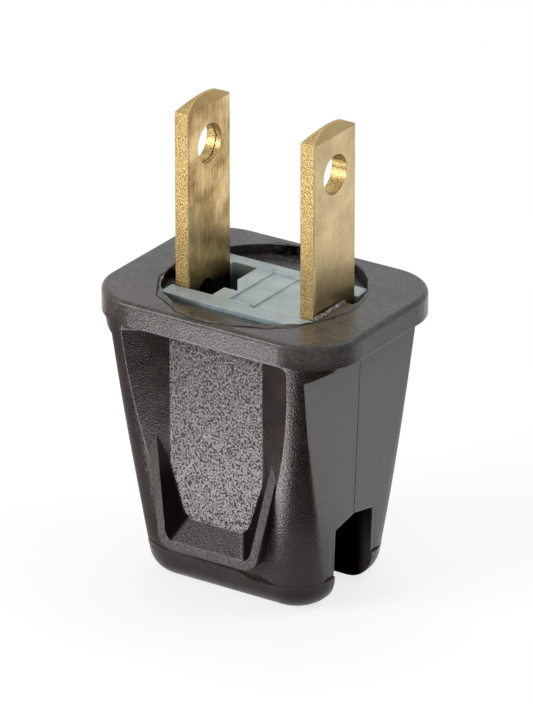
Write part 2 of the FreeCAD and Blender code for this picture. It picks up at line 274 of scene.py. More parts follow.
casing_finish, tree = new_finish("moulded_brown_plastic")
place = add_node(tree, "ShaderNodeTexCoord")
in_mm = add_node(
    tree, "ShaderNodeVectorMath", {0: place.outputs["Object"], "Scale": 1 / MM}, operation="SCALE"
)
axes = add_node(tree, "ShaderNodeSeparateXYZ", {0: in_mm.outputs[0]})
across = add_node(tree, "ShaderNodeMath", {0: axes.outputs["X"]}, operation="ABSOLUTE")
depth = add_node(tree, "ShaderNodeMath", {0: axes.outputs["Y"]}, operation="ABSOLUTE")
between = add_node(
    tree, "ShaderNodeMath", {0: across.outputs[0], 1: PANEL_HALF_WIDTH + 0.02}, operation="LESS_THAN"
)
at_panel = add_node(
    tree, "ShaderNodeMath", {0: depth.outputs[0], 1: PANEL_DEPTH, 2: 0.08}, operation="COMPARE"
)
on_panel = add_node(
    tree, "ShaderNodeMath", {0: between.outputs[0], 1: at_panel.outputs[0]}, operation="MULTIPLY"
)
print("panels", PANEL_DEPTH, "mm from the middle, half width", PANEL_HALF_WIDTH, "mm")

# %% [markdown]
# ### Soft edges
# No moulded edge is sharp. Bevelling the solid would change its mesh, so a Bevel node turns only the
# shading normal near an edge. All edges look slightly round. The creases beside the planed sides fade out
# towards the foot on the real plug, so there the radius grows on the way down.

# %% Edges that look round
EDGE_RADIUS, CREASE_RADIUS = 0.2, 1.0
CREASE_TOP, CREASE_FOOT = 20.0, 9.0
CREASE_START, CREASE_END = 3.4, 7.6

lower = add_node(
    tree, "ShaderNodeMapRange",
    {
        "Value": axes.outputs["Z"], "From Min": CREASE_TOP, "From Max": CREASE_FOOT,
        "To Max": CREASE_RADIUS * MM,
    },
)
off_slot = add_node(
    tree, "ShaderNodeMath", {0: depth.outputs[0], 1: CREASE_START}, operation="GREATER_THAN"
)
off_front = add_node(
    tree, "ShaderNodeMath", {0: depth.outputs[0], 1: CREASE_END}, operation="LESS_THAN"
)
crease = add_node(
    tree, "ShaderNodeMath", {0: off_slot.outputs[0], 1: off_front.outputs[0]}, operation="MULTIPLY"
)
edge_radius = add_node(
    tree, "ShaderNodeMath",
    {0: crease.outputs[0], 1: lower.outputs[0], 2: EDGE_RADIUS * MM}, operation="MULTIPLY_ADD",
)
edge_look = add_node(tree, "ShaderNodeBevel", {"Radius": edge_radius.outputs[0]}, samples=8)
print("edges look", EDGE_RADIUS, "mm round, the creases up to", EDGE_RADIUS + CREASE_RADIUS, "mm")

# %% [markdown]
# ### Grain
# Spark erosion leaves round craters in the mould that run into each other, so the moulding gets rounded
# pebbles with narrow valleys. Noise alone looks like worms, and cells alone look like scales. The grain is
# therefore noise less the distance to the middle of the nearest cell. A pebble is about 0.18 mm across,
# which is 5.5 to the millimetre.

# %% Pebbled grain
PEBBLES_PER_MM = 5.5

coarse = add_node(
    tree, "ShaderNodeTexNoise",
    {"Vector": in_mm.outputs[0], "Scale": PEBBLES_PER_MM, "Detail": 2.0, "Roughness": 0.5},
)
pebble = add_node(
    tree, "ShaderNodeTexVoronoi", {"Vector": in_mm.outputs[0], "Scale": PEBBLES_PER_MM}, feature="F1"
)
grain = add_node(
    tree, "ShaderNodeMath",
    {0: pebble.outputs["Distance"], 1: -0.7, 2: coarse.outputs["Fac"]}, operation="MULTIPLY_ADD",
)
print("pebbles", round(1 / PEBBLES_PER_MM, 2), "mm across")

# %% [markdown]
# The panels have the grain at full depth and the upright faces of the block at about a third of it. The
# flange, the planed sides and the steep walls of the recess have none. The direction of a face tells which
# it is: a planed side faces along X, and a recess wall faces back towards the middle.

# %% Where the grain lies
FLANGE_FOOT = plug_face / MM - 2.2
BLOCK_GRAIN = 0.36

shell = add_node(tree, "ShaderNodeNewGeometry")
shell_facing = add_node(tree, "ShaderNodeSeparateXYZ", {0: shell.outputs["Normal"]})
sideways = add_node(tree, "ShaderNodeMath", {0: shell_facing.outputs["X"]}, operation="ABSOLUTE")
on_block = add_node(
    tree, "ShaderNodeMapRange",
    {
        "Value": axes.outputs["Z"], "From Min": FLANGE_FOOT + 0.1, "From Max": FLANGE_FOOT - 0.1,
        "To Max": BLOCK_GRAIN,
    },
)
upright_share = add_node(
    tree, "ShaderNodeMapRange",
    {
        "Value": shell_facing.outputs["Z"], "From Min": 0.35, "From Max": 0.15,
        "To Max": on_block.outputs[0],
    },
)
outward = add_node(
    tree, "ShaderNodeMath",
    {0: shell_facing.outputs["X"], 1: axes.outputs["X"]}, operation="MULTIPLY",
)
recess_wall = add_node(
    tree, "ShaderNodeMapRange", {"Value": outward.outputs[0], "From Min": -0.3, "From Max": -0.8}
)
planed_or_wall = add_node(
    tree, "ShaderNodeMath", {0: sideways.outputs[0], 1: recess_wall.outputs[0]}, operation="MAXIMUM"
)
block_share = add_node(
    tree, "ShaderNodeMapRange",
    {
        "Value": planed_or_wall.outputs[0], "From Min": 0.98, "From Max": 0.93,
        "To Max": upright_share.outputs[0],
    },
)
coarse_share = add_node(
    tree, "ShaderNodeMath", {0: on_panel.outputs[0], 1: block_share.outputs[0]}, operation="MAXIMUM"
)
print("grain on the panels in full, on the block at", BLOCK_GRAIN)

# %% Height of the skin
# In millimetres. The fine grain is drawn every 0.16 mm, coarser than the real one, so that it shows.
PEBBLE_HEIGHT, FINE_HEIGHT = 0.055, 0.024
FINE_PER_MM = 6.2

coarse_height = add_node(
    tree, "ShaderNodeMath", {0: grain.outputs[0], 1: coarse_share.outputs[0]}, operation="MULTIPLY"
)
coarse_mm = add_node(
    tree, "ShaderNodeMath", {0: coarse_height.outputs[0], 1: PEBBLE_HEIGHT}, operation="MULTIPLY"
)
fine = add_node(
    tree, "ShaderNodeTexNoise",
    {"Vector": in_mm.outputs[0], "Scale": FINE_PER_MM, "Detail": 2.0, "Roughness": 0.5},
)
skin_height = add_node(
    tree, "ShaderNodeMath",
    {0: fine.outputs["Fac"], 1: FINE_HEIGHT, 2: coarse_mm.outputs[0]}, operation="MULTIPLY_ADD",
)
print("pebbles", PEBBLE_HEIGHT, "mm high, fine grain", FINE_HEIGHT, "mm")

# %% [markdown]
# ### Crack round the pocket
# The skin round the pocket's rim has cracked, in front and at the back between the blades. The crack is a
# shallow groove in the bump, and its near-black colour is painted shade of the gap under the torn edge. It
# could be cut into the shape, but the solid stays as it is, so it is drawn. The distance from the pocket's
# axis, with slow noise added so that the crack wanders, is compared with a radius just outside the rim. A
# second noise makes the crack wider in some places.

# %% Crack round the pocket, painted dark as shade
POCKET_RADIUS = 9.0
CRACK_WANDER, CRACK_OFFSET = 1.7, 0.95
THIN_CRACK, WIDE_CRACK = 0.06, 0.24

mottle = add_node(
    tree, "ShaderNodeTexNoise",
    {"Vector": in_mm.outputs[0], "Scale": 0.4, "Detail": 5.0, "Roughness": 0.6},
)
flat_place = add_node(
    tree, "ShaderNodeVectorMath", {0: in_mm.outputs[0], 1: (1, 1, 0)}, operation="MULTIPLY"
)
from_axis = add_node(tree, "ShaderNodeVectorMath", {0: flat_place.outputs[0]}, operation="LENGTH")
crack_path = add_node(
    tree, "ShaderNodeTexNoise",
    {"Vector": in_mm.outputs[0], "Scale": 0.4, "Detail": 1.5, "Roughness": 0.55},
)
crack_line = add_node(
    tree, "ShaderNodeMath",
    {0: crack_path.outputs["Fac"], 1: CRACK_WANDER, 2: from_axis.outputs["Value"]},
    operation="MULTIPLY_ADD",
)
crack_gap = add_node(
    tree, "ShaderNodeMath", {0: crack_line.outputs[0], 1: POCKET_RADIUS + CRACK_OFFSET},
    operation="SUBTRACT",
)
crack_distance = add_node(tree, "ShaderNodeMath", {0: crack_gap.outputs[0]}, operation="ABSOLUTE")
crack_reach = add_node(
    tree, "ShaderNodeMapRange",
    {
        "Value": mottle.outputs["Fac"], "From Min": 0.35, "From Max": 0.62,
        "To Min": THIN_CRACK, "To Max": WIDE_CRACK,
    },
)
crack_width = add_node(
    tree, "ShaderNodeMapRange",
    {"Value": crack_distance.outputs[0], "From Min": crack_reach.outputs[0], "From Max": 0.03},
)
on_face = add_node(
    tree, "ShaderNodeMath", {0: axes.outputs["Z"], 1: plug_face / MM - 1.0}, operation="GREATER_THAN"
)
face_crack = add_node(
    tree, "ShaderNodeMath", {0: crack_width.outputs[0], 1: on_face.outputs[0]}, operation="MULTIPLY"
)
front_half = add_node(
    tree, "ShaderNodeMapRange", {"Value": axes.outputs["Y"], "From Min": 2.0, "From Max": -3.0}
)
between_blades = add_node(
    tree, "ShaderNodeMapRange", {"Value": across.outputs[0], "From Min": 5.2, "From Max": 3.8}
)
cracked_part = add_node(
    tree, "ShaderNodeMath", {0: front_half.outputs[0], 1: between_blades.outputs[0]}, operation="MAXIMUM"
)
crack = add_node(
    tree, "ShaderNodeMath", {0: face_crack.outputs[0], 1: cracked_part.outputs[0]}, operation="MULTIPLY"
)
print("crack near radius", POCKET_RADIUS, "mm,", THIN_CRACK, "to", WIDE_CRACK, "mm to each side")

# %% [markdown]
# ### Torn lines on the front
# A torn line runs across the front under the finger rib. Past the rib's end it falls towards the near
# corner, and it is widest there. A thinner line follows the outer side of the left rib leg. Such lines can
# be left where the skin stuck to the mould. Each is a shallow groove in the bump, and its near-black colour
# is painted shade of the gap. They could be cut into the shape too, but here each is a distance, to a level
# or to a slope, with slow noise added to it.

# %% Torn line under the rib
FOOT_LINE = 3.12
TORN_SLOPE, TORN_FALL, TORN_WANDER = 0.022, 0.1, 0.4
FALL_START, TEAR_MIDDLE = 1.7, 3.7

wander = add_node(
    tree, "ShaderNodeTexNoise",
    {"Vector": in_mm.outputs[0], "Scale": 0.55, "Detail": 3.0, "Roughness": 0.6},
)
beyond_rib = add_node(
    tree, "ShaderNodeMath", {0: axes.outputs["X"], 1: FALL_START}, operation="SUBTRACT"
)
past_rib = add_node(tree, "ShaderNodeMath", {0: beyond_rib.outputs[0], 1: 0.0}, operation="MAXIMUM")
torn_level = add_node(
    tree, "ShaderNodeMath",
    {0: axes.outputs["X"], 1: TORN_SLOPE, 2: axes.outputs["Z"]}, operation="MULTIPLY_ADD",
)
torn_fall = add_node(
    tree, "ShaderNodeMath",
    {0: past_rib.outputs[0], 1: TORN_FALL, 2: torn_level.outputs[0]}, operation="MULTIPLY_ADD",
)
torn_wander = add_node(
    tree, "ShaderNodeMath",
    {0: wander.outputs["Fac"], 1: TORN_WANDER, 2: torn_fall.outputs[0]}, operation="MULTIPLY_ADD",
)
torn_gap = add_node(
    tree, "ShaderNodeMath", {0: torn_wander.outputs[0], 1: FOOT_LINE + TORN_WANDER / 2},
    operation="SUBTRACT",
)
torn_distance = add_node(tree, "ShaderNodeMath", {0: torn_gap.outputs[0]}, operation="ABSOLUTE")
from_tear = add_node(
    tree, "ShaderNodeMath", {0: axes.outputs["X"], 1: TEAR_MIDDLE}, operation="SUBTRACT"
)
tear_distance = add_node(tree, "ShaderNodeMath", {0: from_tear.outputs[0]}, operation="ABSOLUTE")
tear_reach = add_node(
    tree, "ShaderNodeMapRange",
    {
        "Value": tear_distance.outputs[0], "From Min": 1.9, "From Max": 0.2,
        "To Min": 0.11, "To Max": 0.32,
    },
)
line_end = add_node(
    tree, "ShaderNodeMapRange", {"Value": axes.outputs["X"], "From Min": 6.4, "From Max": 5.0}
)
torn_reach = add_node(
    tree, "ShaderNodeMath", {0: tear_reach.outputs[0], 1: line_end.outputs[0]}, operation="MULTIPLY"
)
torn_width = add_node(
    tree, "ShaderNodeMath", {0: torn_distance.outputs[0], 1: torn_reach.outputs[0]},
    operation="LESS_THAN",
)
in_front = add_node(
    tree, "ShaderNodeMath", {0: axes.outputs["Y"], 1: -6.2}, operation="LESS_THAN"
)
torn = add_node(
    tree, "ShaderNodeMath", {0: torn_width.outputs[0], 1: in_front.outputs[0]}, operation="MULTIPLY"
)
print("torn line at height", FOOT_LINE, "mm, widest at X", TEAR_MIDDLE, "mm")

# %% Line beside the rib leg
LEG_SPLAY, LEG_LINE = math.tan(math.radians(10.2)), 4.22
LEG_LINE_REACH = 0.11

leg_line = add_node(
    tree, "ShaderNodeMath",
    {0: axes.outputs["Z"], 1: LEG_SPLAY, 2: axes.outputs["X"]}, operation="MULTIPLY_ADD",
)
leg_wander = add_node(
    tree, "ShaderNodeMath",
    {0: wander.outputs["Fac"], 1: 0.3, 2: leg_line.outputs[0]}, operation="MULTIPLY_ADD",
)
at_leg = add_node(
    tree, "ShaderNodeMath",
    {0: leg_wander.outputs[0], 1: -LEG_LINE, 2: LEG_LINE_REACH}, operation="COMPARE",
)
leg_height = add_node(
    tree, "ShaderNodeMapRange", {"Value": axes.outputs["Z"], "From Min": 13.5, "From Max": 9.0}
)
above_foot = add_node(
    tree, "ShaderNodeMath", {0: axes.outputs["Z"], 1: FOOT_LINE + 0.6}, operation="GREATER_THAN"
)
leg_span = add_node(
    tree, "ShaderNodeMath", {0: leg_height.outputs[0], 1: above_foot.outputs[0]}, operation="MULTIPLY"
)
leg_part = add_node(
    tree, "ShaderNodeMath", {0: at_leg.outputs[0], 1: leg_span.outputs[0]}, operation="MULTIPLY"
)
leg_front = add_node(
    tree, "ShaderNodeMath", {0: leg_part.outputs[0], 1: in_front.outputs[0]}, operation="MULTIPLY"
)
print("leg line leans", round(math.degrees(math.atan(LEG_SPLAY)), 1), "degrees")

# %% [markdown]
# ### One bump for the casing
# The crack and the torn lines are dug into the grain, and one Bump node reads the sum. Two Bump nodes in
# a row would do as well, but one sum is easier to check, because every height in it is in millimetres.

# %% Bump of the casing
LINE_DEPTH = 0.06

torn_or_leg = add_node(
    tree, "ShaderNodeMath", {0: torn.outputs[0], 1: leg_front.outputs[0]}, operation="MAXIMUM"
)
# The crack and torn lines are grooves, and the casing colour paints them near-black as shade of the gap.
dark_lines = add_node(
    tree, "ShaderNodeMath", {0: crack.outputs[0], 1: torn_or_leg.outputs[0]}, operation="MAXIMUM"
)
casing_height = add_node(
    tree, "ShaderNodeMath",
    {0: dark_lines.outputs[0], 1: -LINE_DEPTH, 2: skin_height.outputs[0]}, operation="MULTIPLY_ADD",
)
casing_bump = add_node(
    tree, "ShaderNodeBump",
    {
        "Strength": 1.0, "Distance": MM,
        "Height": casing_height.outputs[0], "Normal": edge_look.outputs["Normal"],
    },
)
print("lines", LINE_DEPTH, "mm deep")

# %% [markdown]
# ### Colour of the block and the flange
# The plastic itself is brown-black and a little uneven. The flange is paler, partly from handling and
# partly as painted sheen. It is brown along the front and a cooler grey farther back, and that cool grey is
# painted sheen. Small pale scuffs are wear. One picture painted over the casing could show all this, but
# noise that reads the place in millimetres needs no picture and has no seams.

# %% Brown block and scuffed flange
brown = add_node(tree, "ShaderNodeValToRGB", {0: mottle.outputs["Fac"]})
brown.color_ramp.elements[0].position = 0.35
brown.color_ramp.elements[0].color = linear("#261a17")
brown.color_ramp.elements[1].position = 0.7
brown.color_ramp.elements[1].color = linear("#352823")
flange_share = add_node(
    tree, "ShaderNodeMapRange",
    {"Value": axes.outputs["Z"], "From Min": FLANGE_FOOT - 0.2, "From Max": FLANGE_FOOT + 0.8},
)
# Partly wear, partly painted sheen: the paler tone of the flange.
flange_wear_and_sheen = add_node(tree, "ShaderNodeValToRGB", {0: wander.outputs["Fac"]})
flange_wear_and_sheen.color_ramp.elements[0].position = 0.4
flange_wear_and_sheen.color_ramp.elements[0].color = linear("#3d3734")
flange_wear_and_sheen.color_ramp.elements[1].position = 0.68
flange_wear_and_sheen.color_ramp.elements[1].color = linear("#544944")
# Painted sheen: farther back the flange is mixed towards a cooler grey.
cool_sheen = add_node(tree, "ShaderNodeValToRGB", {0: wander.outputs["Fac"]})
cool_sheen.color_ramp.elements[0].position = 0.4
cool_sheen.color_ramp.elements[0].color = linear("#323437")
cool_sheen.color_ramp.elements[1].position = 0.68
cool_sheen.color_ramp.elements[1].color = linear("#4c4b4c")
off_the_front = add_node(
    tree, "ShaderNodeMapRange", {"Value": axes.outputs["Y"], "From Min": -7.6, "From Max": -4.5}
)
face_tone_and_sheen = add_node(
    tree, "ShaderNodeMix",
    {0: off_the_front.outputs[0], 6: flange_wear_and_sheen.outputs[0], 7: cool_sheen.outputs[0]}, data_type="RGBA",
)
flange_brown = add_node(
    tree, "ShaderNodeMix",
    {0: flange_share.outputs[0], 6: brown.outputs[0], 7: face_tone_and_sheen.outputs[2]}, data_type="RGBA",
)
scuff = add_node(
    tree, "ShaderNodeTexNoise",
    {"Vector": in_mm.outputs[0], "Scale": 2.4, "Detail": 6.0, "Roughness": 0.75},
)
scuff_share = add_node(
    tree, "ShaderNodeMapRange",
    {"Value": scuff.outputs["Fac"], "From Min": 0.5, "From Max": 0.68, "To Max": 0.75},
)
flange_scuff = add_node(
    tree, "ShaderNodeMath", {0: scuff_share.outputs[0], 1: flange_share.outputs[0]}, operation="MULTIPLY"
)
scuffed = add_node(
    tree, "ShaderNodeMix",
    {0: flange_scuff.outputs[0], 6: flange_brown.outputs[2], 7: linear("#776c66")}, data_type="RGBA",
)
print("flange begins at", round(FLANGE_FOOT, 2), "mm; scuffs about 0.4 mm across")

# %% [markdown]
# ### Paler edges: wear and painted highlight
# The outer edges are painted paler, partly as wear from handling and partly as painted highlight where a
# round edge catches the light. An edge is where the rounded normal differs from the true one. An Ambient
# Occlusion node, which sees how open a place is, leaves out the edges that fingers can't reach.

# %% Paler edges, worn and with painted highlight
OPEN_DISTANCE = 6

turn = add_node(
    tree, "ShaderNodeVectorMath",
    {0: edge_look.outputs["Normal"], 1: shell.outputs["Normal"]}, operation="DOT_PRODUCT",
)
edge = add_node(
    tree, "ShaderNodeMapRange",
    {"Value": turn.outputs["Value"], "From Min": 0.985, "From Max": 0.84},
)
corner = add_node(
    tree, "ShaderNodeAmbientOcclusion", {"Distance": OPEN_DISTANCE * MM}, samples=8, only_local=True
)
edge_wear_and_highlight = add_node(
    tree, "ShaderNodeMath", {0: edge.outputs[0], 1: corner.outputs["AO"]}, operation="MULTIPLY"
)
edge_wear_and_highlight_share = add_node(
    tree, "ShaderNodeMath", {0: edge_wear_and_highlight.outputs[0], 1: mottle.outputs["Fac"]}, operation="MULTIPLY"
)
# Partly wear, partly painted highlight: outer edges mixed towards pale #8a8077.
wear_and_highlight_brown = add_node(
    tree, "ShaderNodeMix",
    {0: edge_wear_and_highlight_share.outputs[0], 6: scuffed.outputs[2], 7: linear("#8a8077")}, data_type="RGBA",
)
print("openness measured over", OPEN_DISTANCE, "mm")

# %% [markdown]
# ### Painted sheen on the finger panels
# The panels are painted paler grey, most of all low down, and the tops of their pebbles paler still:
# painted sheen and painted glints in the place of the bright card mirrored in the grain. The pits between
# the pebbles are painted dark as shade. The same grain that makes the bump also picks the pits and the
# tops, so that colour and relief agree.

# %% Painted sheen, glints and pit shade on the panels
SHEEN_TOP, SHEEN_FOOT = 23.5, 12.0

# Painted sheen on the panels, strongest low down.
sheen_low = add_node(
    tree, "ShaderNodeMapRange",
    {
        "Value": axes.outputs["Z"], "From Min": SHEEN_TOP, "From Max": SHEEN_FOOT,
        "To Min": 0.35, "To Max": 0.95,
    },
)
panel_sheen = add_node(
    tree, "ShaderNodeMath", {0: on_panel.outputs[0], 1: sheen_low.outputs[0]}, operation="MULTIPLY"
)
sheened_brown = add_node(
    tree, "ShaderNodeMix",
    {0: panel_sheen.outputs[0], 6: wear_and_highlight_brown.outputs[2], 7: linear("#7a7572")}, data_type="RGBA",
)
grain_pit = add_node(
    tree, "ShaderNodeMapRange",
    {"Value": grain.outputs[0], "From Min": 0.13, "From Max": -0.04, "To Max": 0.85},
)
pit_shade_share = add_node(
    tree, "ShaderNodeMath", {0: grain_pit.outputs[0], 1: coarse_share.outputs[0]}, operation="MULTIPLY"
)
# Painted shade in the pits of the grain, towards near-black #1a1311.
shaded_pits = add_node(
    tree, "ShaderNodeMix",
    {0: pit_shade_share.outputs[0], 6: sheened_brown.outputs[2], 7: linear("#1a1311")}, data_type="RGBA",
)
grain_top = add_node(
    tree, "ShaderNodeMapRange",
    {"Value": grain.outputs[0], "From Min": 0.2, "From Max": 0.44, "To Max": 0.65},
)
# Painted glints on the tops of the panel pebbles.
panel_glint = add_node(
    tree, "ShaderNodeMath", {0: grain_top.outputs[0], 1: on_panel.outputs[0]}, operation="MULTIPLY"
)
glinted_brown = add_node(
    tree, "ShaderNodeMix",
    {0: panel_glint.outputs[0], 6: shaded_pits.outputs[2], 7: linear("#aaa49f")}, data_type="RGBA",
)
print("panels worn most below", SHEEN_FOOT, "mm")

# %% [markdown]
# ### Painted shade
# Shade is painted into the colour where little light reaches: in the inner corners, low on the walls
# of the recess, along the cracks and torn lines and inside the slot for the cord. The corners come from the
# Ambient Occlusion node. The slot is a box in the casing, so its limits are plain sizes.

# %% Painted shade in corners, walls and slot
SLOT_HALF_WIDTH, SLOT_HEAD, SLOT_START = 2.95, 7.9, -3.3
SHADED_WALL_TOP, SHADED_WALL_FOOT = 13.5, 10.5

# Painted shade where the Ambient Occlusion node finds a closed corner.
corner_shade = add_node(
    tree, "ShaderNodeMapRange", {"Value": corner.outputs["AO"], "From Min": 0.7, "From Max": 0.35}
)
# Painted shade inside the slot, fading out towards its open end.
slot_reach = add_node(
    tree, "ShaderNodeMapRange", {"Value": axes.outputs["X"], "From Min": 8.8, "From Max": 7.6}
)
in_slot = add_node(
    tree, "ShaderNodeMath", {0: depth.outputs[0], 1: SLOT_HALF_WIDTH}, operation="LESS_THAN"
)
under_slot_head = add_node(
    tree, "ShaderNodeMath", {0: axes.outputs["Z"], 1: SLOT_HEAD}, operation="LESS_THAN"
)
slot_box = add_node(
    tree, "ShaderNodeMath", {0: in_slot.outputs[0], 1: under_slot_head.outputs[0]}, operation="MULTIPLY"
)
slot_start = add_node(
    tree, "ShaderNodeMath", {0: axes.outputs["X"], 1: SLOT_START}, operation="GREATER_THAN"
)
slot_inside = add_node(
    tree, "ShaderNodeMath", {0: slot_box.outputs[0], 1: slot_start.outputs[0]}, operation="MULTIPLY"
)
slot_shade = add_node(
    tree, "ShaderNodeMath", {0: slot_reach.outputs[0], 1: slot_inside.outputs[0]}, operation="MULTIPLY"
)
# Painted shade low on the walls of the recess.
wall_low = add_node(
    tree, "ShaderNodeMapRange",
    {
        "Value": axes.outputs["Z"], "From Min": SHADED_WALL_TOP, "From Max": SHADED_WALL_FOOT,
        "To Max": 0.85,
    },
)
wall_shade = add_node(
    tree, "ShaderNodeMath", {0: recess_wall.outputs[0], 1: wall_low.outputs[0]}, operation="MULTIPLY"
)
corner_or_wall_shade = add_node(
    tree, "ShaderNodeMath", {0: corner_shade.outputs[0], 1: wall_shade.outputs[0]}, operation="MAXIMUM"
)
corner_wall_slot_shade = add_node(
    tree, "ShaderNodeMath", {0: corner_or_wall_shade.outputs[0], 1: slot_shade.outputs[0]}, operation="MAXIMUM"
)
shade_and_lines = add_node(
    tree, "ShaderNodeMath", {0: corner_wall_slot_shade.outputs[0], 1: dark_lines.outputs[0]}, operation="MAXIMUM"
)
# All painted shade and the dark lines mix the colour towards near-black #0c0706.
casing_colour = add_node(
    tree, "ShaderNodeMix",
    {0: shade_and_lines.outputs[0], 6: glinted_brown.outputs[2], 7: linear("#0c0706")}, data_type="RGBA",
)
print("slot", 2 * SLOT_HALF_WIDTH, "mm wide, sooty up to", SLOT_HEAD, "mm")

# %% [markdown]
# ### Gloss
# A clean moulded skin is satin, and slow noise keeps its sheen from looking even. The pits, the painted
# shade and the finger rib are duller. The rib leans out 6.5 degrees, which tells it from the columns.
# Roughness alone would still leave a grey veil on places that are darker on the real plug: the deep
# corners, the walls of the recess, the pits, the rib, the foot and the slot. There the level of the gloss
# comes down as well. In the corners, on the low walls, in the pits, on the foot and in the slot this is
# painted shade in the reflections.

# %% Roughness of the casing
RIB_LEAN = math.sin(math.radians(6.5))

even_gloss = add_node(
    tree, "ShaderNodeMapRange",
    {"Value": mottle.outputs["Fac"], "From Min": 0.3, "From Max": 0.7, "To Min": 0.05, "To Max": 0.13},
)
skin_gloss = add_node(
    tree, "ShaderNodeMath",
    {0: fine.outputs["Fac"], 1: 0.28, 2: even_gloss.outputs[0]}, operation="MULTIPLY_ADD",
)
grain_dull = add_node(
    tree, "ShaderNodeMapRange",
    {"Value": grain.outputs[0], "From Min": 0.14, "From Max": 0.0, "To Max": 0.5},
)
grain_gloss = add_node(
    tree, "ShaderNodeMath",
    {0: grain_dull.outputs[0], 1: coarse_share.outputs[0], 2: skin_gloss.outputs[0]},
    operation="MULTIPLY_ADD",
)
on_rib = add_node(
    tree, "ShaderNodeMath", {0: shell_facing.outputs["Z"], 1: RIB_LEAN, 2: 0.03}, operation="COMPARE"
)
rib_gloss = add_node(
    tree, "ShaderNodeMath",
    {0: on_rib.outputs[0], 1: 0.2, 2: grain_gloss.outputs[0]}, operation="MULTIPLY_ADD",
)
casing_gloss = add_node(
    tree, "ShaderNodeMath",
    {0: shade_and_lines.outputs[0], 1: 0.7, 2: rib_gloss.outputs[0]}, operation="MULTIPLY_ADD",
    use_clamp=True,
)
print("rib found by a normal with Z", round(RIB_LEAN, 3))

# %% Level of the gloss, lowered as painted shade
OPEN_GLOSS_LEVEL, SHADED_GLOSS_LEVEL = 0.42, 0.02

# Painted shade in the reflections: the gloss level falls where Ambient Occlusion finds a closed corner.
corner_shaded_gloss = add_node(
    tree, "ShaderNodeMapRange",
    {
        "Value": corner.outputs["AO"], "From Min": 0.52, "From Max": 0.86,
        "To Min": SHADED_GLOSS_LEVEL, "To Max": OPEN_GLOSS_LEVEL,
    },
)
wall_dull = add_node(
    tree, "ShaderNodeMapRange",
    {"Value": axes.outputs["Z"], "From Min": 15.0, "From Max": 11.0, "To Min": 0.5, "To Max": 0.95},
)
dull_wall = add_node(
    tree, "ShaderNodeMath", {0: recess_wall.outputs[0], 1: wall_dull.outputs[0]}, operation="MULTIPLY"
)
dull_rib = add_node(
    tree, "ShaderNodeMath", {0: on_rib.outputs[0], 1: 0.3, 2: slot_shade.outputs[0]},
    operation="MULTIPLY_ADD",
)
dull_foot = add_node(
    tree, "ShaderNodeMapRange",
    {"Value": axes.outputs["Z"], "From Min": 3.0, "From Max": 1.6, "To Max": 0.45},
)
dull_rib_or_foot = add_node(
    tree, "ShaderNodeMath", {0: dull_rib.outputs[0], 1: dull_foot.outputs[0]}, operation="MAXIMUM"
)
dull_share = add_node(
    tree, "ShaderNodeMath", {0: dull_rib_or_foot.outputs[0], 1: dull_wall.outputs[0]},
    operation="MAXIMUM",
)
dull_pit = add_node(
    tree, "ShaderNodeMath", {0: pit_shade_share.outputs[0], 1: 0.4}, operation="MULTIPLY"
)
dull_all = add_node(
    tree, "ShaderNodeMath", {0: dull_share.outputs[0], 1: dull_pit.outputs[0]}, operation="MAXIMUM"
)
glossy_share = add_node(
    tree, "ShaderNodeMath", {0: 1.0, 1: dull_all.outputs[0]}, operation="SUBTRACT"
)
gloss_level = add_node(
    tree, "ShaderNodeMath", {0: corner_shaded_gloss.outputs[0], 1: glossy_share.outputs[0]}, operation="MULTIPLY"
)
casing_shader = add_node(
    tree, "ShaderNodeBsdfPrincipled",
    {
        "Base Color": casing_colour.outputs[2], "Roughness": casing_gloss.outputs[0],
        "IOR": 1.5, "Specular IOR Level": gloss_level.outputs[0],
        "Normal": casing_bump.outputs[0],
    },
)
add_node(tree, "ShaderNodeOutputMaterial", {"Surface": casing_shader.outputs[0]})
print("casing finish:", len(tree.nodes), "nodes")

# %% [markdown]
# ## Blades: rolled brass, sheared to width
# The blades are punched from rolled brass strip. Rolling leaves the broad faces satin with faint lines
# along the blade. Shearing leaves the narrow edges rough and speckled, and bright because no tarnish has
# settled there. Two materials could be set face by face, but one graph that reads the surface's direction
# keeps the change soft.

# %% Which way the brass faces
brass_finish, tree = new_finish("rolled_brass")
place = add_node(tree, "ShaderNodeTexCoord")
in_mm = add_node(
    tree, "ShaderNodeVectorMath", {0: place.outputs["Object"], "Scale": 1 / MM}, operation="SCALE"
)
axes = add_node(tree, "ShaderNodeSeparateXYZ", {0: in_mm.outputs[0]})
surface = add_node(tree, "ShaderNodeNewGeometry")
facing = add_node(tree, "ShaderNodeSeparateXYZ", {0: surface.outputs["Normal"]})
flatness = add_node(tree, "ShaderNodeMath", {0: facing.outputs["X"]}, operation="ABSOLUTE")
cut_edge = add_node(
    tree, "ShaderNodeMapRange",
    {"Value": flatness.outputs[0], "From Min": 0.6, "From Max": 0.3},
)
print("brass graph begins with", len(tree.nodes), "nodes")

# %% [markdown]
# The wall of the punched hole is different again. The punch burnishes it, so most of the bumps of the
# speckle are taken away there. Farther in the metal tears, and in the left blade a dark line marks where
# that begins. The hole could have a material of its own, but the distance from its axis finds the wall
# without touching the mesh.

# %% The wall of the punched hole
HOLE_HEIGHT, HOLE_RADIUS, BLADE_MIDDLE = plug_face / MM + 11.8, 1.8, 6.35

